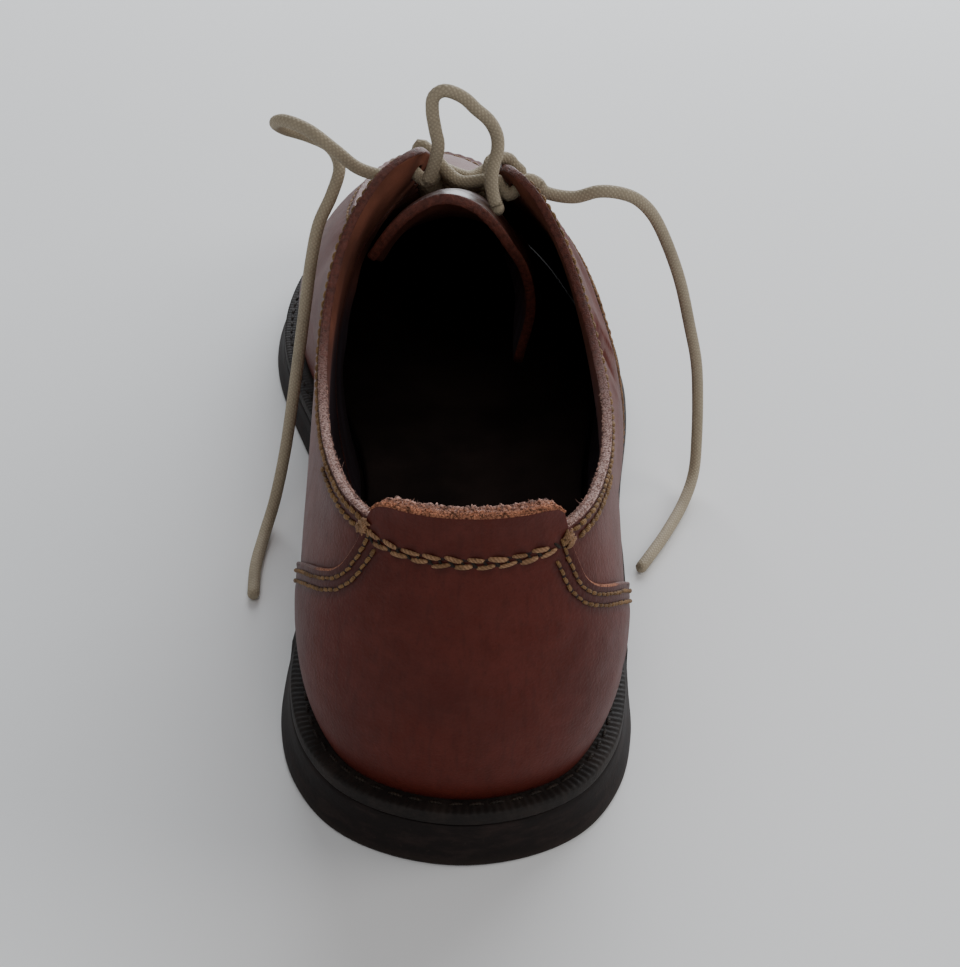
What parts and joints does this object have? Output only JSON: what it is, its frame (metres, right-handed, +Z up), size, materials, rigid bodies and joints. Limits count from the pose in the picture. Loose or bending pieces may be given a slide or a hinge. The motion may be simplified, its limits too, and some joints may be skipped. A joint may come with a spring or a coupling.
{
  "type": "split toe derby shoe",
  "caption": "Right-foot laced leather shoe with a split toe and apron seam, lapped quarters, heel counter with a raised tab, ribbed welt and a low rubber sole.",
  "frame": {"origin": "on the floor, under the middle of the sole's plan", "axes": "+Y to the toe, +Z up, +X to the outer side of the right foot"},
  "size_m": [0.1238, 0.3035, 0.1201],
  "materials": {
    "sole_rubber": "satin dark brown",
    "welt_leather": "ribbed, dyed dark",
    "insole_leather": "matte dark brown",
    "upper_leather": "satin red-brown, fine grain",
    "counter_leather": "satin red-brown, fine grain",
    "tongue_leather": "satin dark brown",
    "lace_cord": "waxed round cord, olive beige"
  },
  "bodies": {
    "root": {"outsole": "sole_rubber", "welt": "welt_leather", "insole": "insole_leather", "upper": "upper_leather", "heel_counter": "counter_leather", "tongue": "tongue_leather", "laces": "lace_cord", "lace_loop": "lace_cord", "lace_end_lateral": "lace_cord", "lace_end_medial": "lace_cord"}
  },
  "joints": []
}
